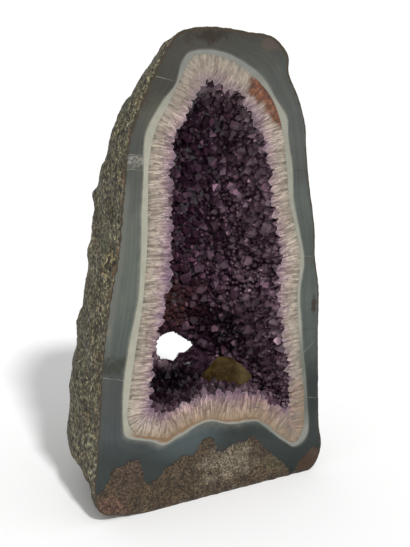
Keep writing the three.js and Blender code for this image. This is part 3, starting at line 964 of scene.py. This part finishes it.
def amethystMaterial():
    material, tree, shader = makeMaterial("amethystGlass")
    place, x, y, _ = objectPlace(tree)
    tone = layerValue(tree, "tone")
    colour = ramp(tree, tone, [
        (0.0, (0.034, 0.013, 0.026)), (0.6, (0.078, 0.034, 0.060)), (1.0, (0.150, 0.082, 0.125)),
    ])
    # lighter lilac towards the face and darker deeper in the hollow: partly the paler crystals at the cut,
    # partly painted light and shade
    lilac = ramp(tree, tone, [(0.0, (0.090, 0.046, 0.068)), (1.0, (0.25, 0.17, 0.19))])
    colour = blendOf(tree, fade(tree, y, faceY + 55, faceY + 3, (0, 0.85)), colour, lilac)
    wobble = fade(tree, grain(tree, place, 0.03, 3), 0.25, 0.75, (-0.5, 0.5))
    # lighter violet on the right wall of the hollow: painted light
    onRight = product(
        tree, fade(tree, x, 34, 96), fade(tree, y, 50, -60), fade(tree, wobble, -0.4, 0.3, (0.5, 1))
    )
    bright = ramp(tree, tone, [(0.0, (0.13, 0.066, 0.100)), (1.0, (0.38, 0.245, 0.31))])
    colour = blendOf(tree, onRight, colour, bright)
    for spot, reach, shade, share in wallSpots:
        mask = product(tree, nearSpot(tree, place, spot, reach, 0.5, wobble), share)
        colour = blendOf(tree, mask, colour, shade)
    # a few random facets much lighter than the rest: painted glints
    paintedGlint = ramp(tree, layerValue(tree, "facet"), [
        (0.0, (0.7, 0.7, 0.7)), (0.86, (1.2, 1.18, 1.2)), (0.93, (2.2, 2.2, 2.2)), (1.0, (4.0, 4.1, 3.8)),
    ])
    setInputs(tree, shader, {
        "Base Color": tinted(tree, colour, paintedGlint), "Roughness": 0.14, "IOR": 1.545,
        "Specular IOR Level": 0.2, "Transmission Weight": 0.5,
    })
    return material


print("lining")
wallVerts, wallFaces = bowlMesh("hollow", 300, 24, [45])
wall = BVHTree.FromPolygons(wallVerts.tolist(), wallFaces)  # growth is measured from it
lining = makeLining()
crustHole = holeCutter("crustHole", 0.8, crustMouth)
cutAway(lining, crustHole)
markGrowth(lining, wall)
quartz = quartzMaterial("milkyQuartz", False)
cutQuartz = quartzMaterial("cutQuartz", True)
amethyst = amethystMaterial()
lining.data.materials.clear()
lining.data.materials.append(quartz)
lining.data.polygons.foreach_set("use_smooth", [True] * len(lining.data.polygons))
lining.data.set_sharp_from_angle(angle=math.radians(50))


# The crystal points that stand on the lining

pointLook = {
    "spacing": 4.6,  # least distance between roots
    "smallest": 2.7,  # radius
    "largest": 8.0,
    "rarity": 3.0,  # higher gives fewer large ones
    "lean": 24,  # degrees
    "shapes": 9,
    "wide": (0.85, 1.2),  # of a shape, in radii, as foot, shaft, tip and raised are
    "foot": -1.7,
    "shaft": 4,
    "tip": (1.0, 1.9),
    "raised": [(0.0, 0.12), (0.02, 0.5)],  # every other face of the tip stands further out
    "slope": 51.8,  # degrees, of the faces at a quartz crystal's tip
    "columns": 240,  # of the surface that they are rooted on
    "rows": 34,
    "inFront": [26, 13],  # its rings in front of the face
    "seed": 11,
    "outline": 0.6,  # width of the pale line round a cut point
    "outlined": 12,  # smallest cut that has one, in square millimetres
    "stagger": 0.6,  # the cuts lie up to this far behind the face, so that none flickers
    "mouthFrom": -75,  # the hole's mouth is kept clear behind this y
    "mouthNear": 45,
    "mouthShare": 0.84,
}


def crystalShapes():  # short hexagonal quartz points, each with its own uneven tip
    random = np.random.default_rng(5)
    shapes = bpy.data.collections.new("crystalShapes")
    around = [math.radians(60 * k + 30) for k in range(6)]
    look = pointLook
    slope = math.radians(look["slope"])
    for number in range(look["shapes"]):
        work = bmesh.new()
        wide = random.uniform(*look["wide"], 6)
        outline = [(math.cos(a) * w, math.sin(a) * w) for a, w in zip(around, wide)]
        low = [work.verts.new((x, y, look["foot"])) for x, y in outline]
        high = [work.verts.new((x, y, look["shaft"])) for x, y in outline]
        work.faces.new(low[::-1])
        work.faces.new(high)
        for k in range(6):
            after = (k + 1) % 6
            work.faces.new((low[k], low[after], high[after], high[k]))
        tip = random.uniform(*look["tip"])
        for k in range(6):
            a = math.radians(60 * k)
            way = (math.cos(a) * math.sin(slope), math.sin(a) * math.sin(slope), math.cos(slope))
            raised = random.uniform(*look["raised"][k % 2])
            slicedOff(work, (0, 0, tip + raised), Vector(way), 1e-5)
        bmesh.ops.recalc_face_normals(work, faces=work.faces)
        mesh = bpy.data.meshes.new("crystalShape")
        work.to_mesh(mesh)
        work.free()
        shapes.objects.link(bpy.data.objects.new(f"crystalShape{number}", mesh))
    return shapes


def growthSurface():  # the surface that the crystals are rooted on, facing into the hollow
    look = pointLook
    bowl = bowlMesh("crystal", look["columns"], look["rows"], look["inFront"])
    obj = linkMesh("amethystPoints", *bowl)
    inward = Vector((0, faceY + 60, 300)) * mm
    face = obj.data.polygons[look["columns"] * 12]
    if (inward - face.center).dot(face.normal) < 0:
        obj.data.flip_normals()
    return obj


def growthTree():
    tree = bpy.data.node_groups.new("crystalGrowth", "GeometryNodeTree")
    sockets = (
        ("Geometry", "Geometry"), ("Spacing", "Float"), ("Smallest", "Float"), ("Largest", "Float"),
        ("Rarity", "Float"), ("Lean", "Float"), ("Seed", "Int"), ("Shapes", "Collection"),
        ("Material", "Material"),
    )
    for name, kind in sockets:
        tree.interface.new_socket(name, in_out="INPUT", socket_type="NodeSocket" + kind)
    tree.interface.new_socket("Geometry", in_out="OUTPUT", socket_type="NodeSocketGeometry")
    given = tree.nodes.new("NodeGroupInput").outputs
    result = tree.nodes.new("NodeGroupOutput").inputs[0]
    spread = put(tree, "GeometryNodeDistributePointsOnFaces", {
        "Mesh": given["Geometry"], "Distance Min": given["Spacing"], "Density Max": 60000.0,
        "Seed": given["Seed"],
    }, distribute_method="POISSON")

    def chance(kind, low, high, seed):
        made = put(tree, "FunctionNodeRandomValue", data_type=kind)
        used = [socket for socket in made.inputs if socket.enabled]
        for socket, value in ((used[0], low), (used[1], high), (used[-1], seed)):
            socket.default_value = value
        return next(socket for socket in made.outputs if socket.enabled)

    lean = given["Lean"]
    tilt = put(tree, "ShaderNodeCombineXYZ", {
        0: product(tree, lean, chance("FLOAT", -1.0, 1.0, 3)),
        1: product(tree, lean, chance("FLOAT", -1.0, 1.0, 4)),
        2: chance("FLOAT", 0.0, 2 * math.pi, 5),
    }).outputs[0]
    turned = put(tree, "FunctionNodeRotateRotation", {
        "Rotation": spread.outputs["Rotation"], "Rotate By": tilt,
    }, rotation_space="LOCAL")
    share = calc(tree, "POWER", chance("FLOAT", 0.0, 1.0, 6), given["Rarity"])
    width = calc(tree, "SUBTRACT", given["Largest"], given["Smallest"])
    size = calc(tree, "ADD", given["Smallest"], product(tree, share, width))
    shapes = put(tree, "GeometryNodeCollectionInfo", {
        "Collection": given["Shapes"], "Separate Children": True, "Reset Children": True,
    })
    grown = put(tree, "GeometryNodeInstanceOnPoints", {
        "Points": spread.outputs["Points"], "Instance": shapes.outputs[0], "Pick Instance": True,
        "Instance Index": chance("INT", 0, pointLook["shapes"] - 1, 7),
        "Rotation": turned.outputs[0], "Scale": size,
    })
    toned = put(tree, "GeometryNodeStoreNamedAttribute", {
        "Geometry": grown.outputs[0], "Name": "tone", "Value": chance("FLOAT", 0.0, 1.0, 8),
    }, data_type="FLOAT", domain="INSTANCE")
    real = put(tree, "GeometryNodeRealizeInstances", {"Geometry": toned.outputs[0]})
    painted = put(tree, "GeometryNodeSetMaterial", {
        "Geometry": real.outputs[0], "Material": given["Material"],
    })
    tree.links.new(painted.outputs[0], result)
    return tree


def growCrystals():
    obj = growthSurface()
    grow = obj.modifiers.new("growth", "NODES")
    grow.node_group = growthTree()
    look = pointLook
    values = {
        "Spacing": look["spacing"] * mm, "Smallest": look["smallest"] * mm,
        "Largest": look["largest"] * mm, "Rarity": look["rarity"],
        "Lean": math.radians(look["lean"]), "Seed": look["seed"],
        "Shapes": crystalShapes(), "Material": amethyst,
    }
    for item in grow.node_group.interface.items_tree:
        if item.in_out == "INPUT" and item.name in values:
            grow[item.identifier] = values[item.name]
    return applied(obj)


def islandsOf(work):  # the vertices of each separate crystal
    seen, islands = set(), []
    for first in work.verts:
        if first.index in seen:
            continue
        island, stack = [], [first]
        seen.add(first.index)
        while stack:
            vert = stack.pop()
            island.append(vert)
            for edge in vert.link_edges:
                other = edge.other_vert(vert)
                if other.index not in seen:
                    seen.add(other.index)
                    stack.append(other)
        islands.append(island)
    return islands


def trimCrystals(obj):  # polishes the points off at the face, and clears the hole's mouth
    look = pointLook
    work = bmesh.new()
    work.from_mesh(obj.data)
    islands, doomed = islandsOf(work), []
    for island in islands:
        places = np.array([vert.co for vert in island]) / mm
        middle = places.mean(0)
        fromHole = np.abs(middle[[0, 2]] - holeRing(middle[1])[1]).max()
        nearHole = middle[1] > look["mouthFrom"] and fromHole < look["mouthNear"]
        if places[:, 1].max() < faceY + 0.5:
            doomed += island
        elif nearHole and any(insideMouth(place, look["mouthShare"]) for place in places):
            doomed += island
    bmesh.ops.delete(work, geom=doomed, context="VERTS")
    caps = slicedOff(work, (0, faceY * mm, 0), (0, -1, 0), 1e-7)
    golden = 0.618034
    for number, face in enumerate(caps):
        face.material_index = 1
        for vert in face.verts:
            vert.co.y += look["stagger"] * mm * (number * golden % 1)
    edge = work.verts.layers.float.new("outline")
    wide = [face for face in caps if face.calc_area() > look["outlined"] * mm**2]
    for face in wide:
        for vert in face.verts:
            vert[edge] = 1
    rims = bmesh.ops.inset_individual(
        work, faces=wide, thickness=look["outline"] * mm, use_even_offset=True
    )
    for face in wide:
        for vert in face.verts:
            vert[edge] = 0
    work.to_mesh(obj.data)
    work.free()
    print("crystals", len(islands), "faces", len(obj.data.polygons), "cut", len(caps), len(rims["faces"]))


print("crystals")
points = growCrystals()
points.data.materials.clear()
points.data.materials.append(amethyst)
points.data.materials.append(cutQuartz)
trimCrystals(points)
markGrowth(points, wall)
# a random number for each face, which picks the painted glints in the crystals' colour
facets = points.data.attributes.new("facet", "FLOAT", "FACE")
chances = np.random.default_rng(3).random(len(points.data.polygons))
facets.data.foreach_set("value", chances.astype(np.float32))


# The calcite crystal on the hollow's floor

calciteLook = {"place": (46, -73, 148), "cuts": 7, "relief": 1.1}
calciteCorners = [
    [-41, -3, 4], [-36, 8, -6], [-36, -9, -8], [-22, -12, 14], [-14, 0, 24], [-4, -12, 15], [-6, 9, 20],
    [13, -11, 13], [12, 9, 15], [24, -10, 1], [24, 10, 3], [38, -2, -13], [34, 9, -16], [24, -11, -19],
    [0, -13, -14], [0, 12, -16], [-24, -12, -13],
]


def makeCalcite():
    work = bmesh.new()
    middle = Vector(calciteLook["place"])
    for corner in calciteCorners:
        work.verts.new((Vector(corner) + middle) * mm)
    bmesh.ops.convex_hull(work, input=work.verts[:])
    loose = [v for v in work.verts if not v.link_faces]
    bmesh.ops.delete(work, geom=loose, context="VERTS")
    bmesh.ops.subdivide_edges(work, edges=work.edges[:], cuts=calciteLook["cuts"], use_grid_fill=True)
    bmesh.ops.triangulate(work, faces=work.faces[:])
    bmesh.ops.smooth_vert(
        work, verts=work.verts[:], factor=0.5, use_axis_x=True, use_axis_y=True, use_axis_z=True
    )
    bmesh.ops.recalc_face_normals(work, faces=work.faces)
    work.normal_update()
    for vert in work.verts:
        relief = noise.fractal(Vector(vert.co) / (8 * mm), 0.6, 2.0, 4)
        vert.co += vert.normal * calciteLook["relief"] * mm * relief
    mesh = bpy.data.meshes.new("calciteCrystal")
    work.to_mesh(mesh)
    work.free()
    obj = bpy.data.objects.new("calciteCrystal", mesh)
    bpy.context.collection.objects.link(obj)
    return obj


def calciteMaterial():
    material, tree, shader = makeMaterial("oliveCalcite")
    place, x, _, z = objectPlace(tree)
    colour = ramp(tree, grain(tree, place, 0.08, 5, 0.7), [
        (0.3, (0.016, 0.008, 0.001)), (0.5, (0.032, 0.018, 0.004)), (0.7, (0.060, 0.038, 0.012)),
    ])
    # lighter at the top and on the right: painted light
    light = calc(tree, "MAXIMUM", fade(tree, z, 160, 171, (0, 0.3)), fade(tree, x, 48, 66, (0, 0.6)))
    colour = blendOf(tree, light, colour, (0.115, 0.082, 0.036))
    sugar = ramp(tree, grain(tree, place, 0.5, 3, 0.7), [
        (0.35, (0.65, 0.65, 0.65)), (0.65, (1.35, 1.35, 1.35)),
    ])
    setInputs(tree, shader, {
        "Base Color": tinted(tree, colour, sugar), "Roughness": 0.5, "IOR": 1.5,
        "Specular IOR Level": 0.15,
    })
    relieved(tree, shader, grain(tree, place, 0.35, 4), 0.6, 0.0012)
    return material


print("calcite")
calcite = makeCalcite()
calcite.data.materials.append(calciteMaterial())

for cutter in (stoneHole, crustHole):
    bpy.data.objects.remove(cutter)

for piece, node, slotName in (
    (stone, "geode_shell", "stone"),
    (lining, "amethyst_crust", "amethyst"),
    (points, "amethyst_crust", "amethyst"),
    (calcite, "calcite_crystal", "calcite"),
):
    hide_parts(node)
    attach(piece, "root")


# Floor, light and camera

studio = {
    "floorReach": 20000,
    "floorTone": 0.93,
    "sky": 0.60,
    "sunWay": (0.1, 1.0, -1.0),  # as the shadow in the photo falls
    "sunSize": 6,  # degrees, for a soft edge
    "sunPower": 2.45,
    "cameraPlace": (-0.7232, -1.3474, 0.7109),
    "turn": -30.0,
    "rise": 16.046,
    "lens": 78.98,
}


def makeFloor():
    far = studio["floorReach"]
    corners = [[-far, -far, 0], [far, -far, 0], [far, far, 0], [-far, far, 0]]
    floor = linkMesh("floor", corners, [(0, 1, 2, 3)])
    material, tree, shader = makeMaterial("palePaper")
    setInputs(tree, shader, {"Base Color": (studio["floorTone"],) * 3 + (1,), "Roughness": 0.9})
    floor.data.materials.append(material)


def makeLight():
    world = bpy.data.worlds.new("studio")
    world.use_nodes = True
    background = world.node_tree.nodes["Background"]
    setInputs(world.node_tree, background, {"Color": (1, 1, 1, 1), "Strength": studio["sky"]})
    bpy.context.scene.world = world
    light = bpy.data.lights.new("key", "SUN")
    light.angle = math.radians(studio["sunSize"])
    light.energy = studio["sunPower"]
    lamp = bpy.data.objects.new("key", light)
    lamp.rotation_euler = Vector(studio["sunWay"]).to_track_quat("-Z", "Y").to_euler()
    lamp.visible_glossy = False
    lamp.visible_transmission = False
    bpy.context.collection.objects.link(lamp)


def makeCamera():
    turn, rise = math.radians(studio["turn"]), math.radians(studio["rise"])
    back = Vector((math.sin(turn) * math.cos(rise), -math.cos(turn) * math.cos(rise), math.sin(rise)))
    camera = bpy.data.objects.new("camera", bpy.data.cameras.new("camera"))
    camera.data.lens = studio["lens"]
    camera.data.sensor_width = 36
    camera.location = studio["cameraPlace"]
    camera.rotation_euler = back.to_track_quat("Z", "Y").to_euler()
    bpy.context.collection.objects.link(camera)
    bpy.context.scene.camera = camera


print("studio")
makeFloor()
makeLight()
makeCamera()
bpy.context.scene.view_settings.view_transform = "Standard"
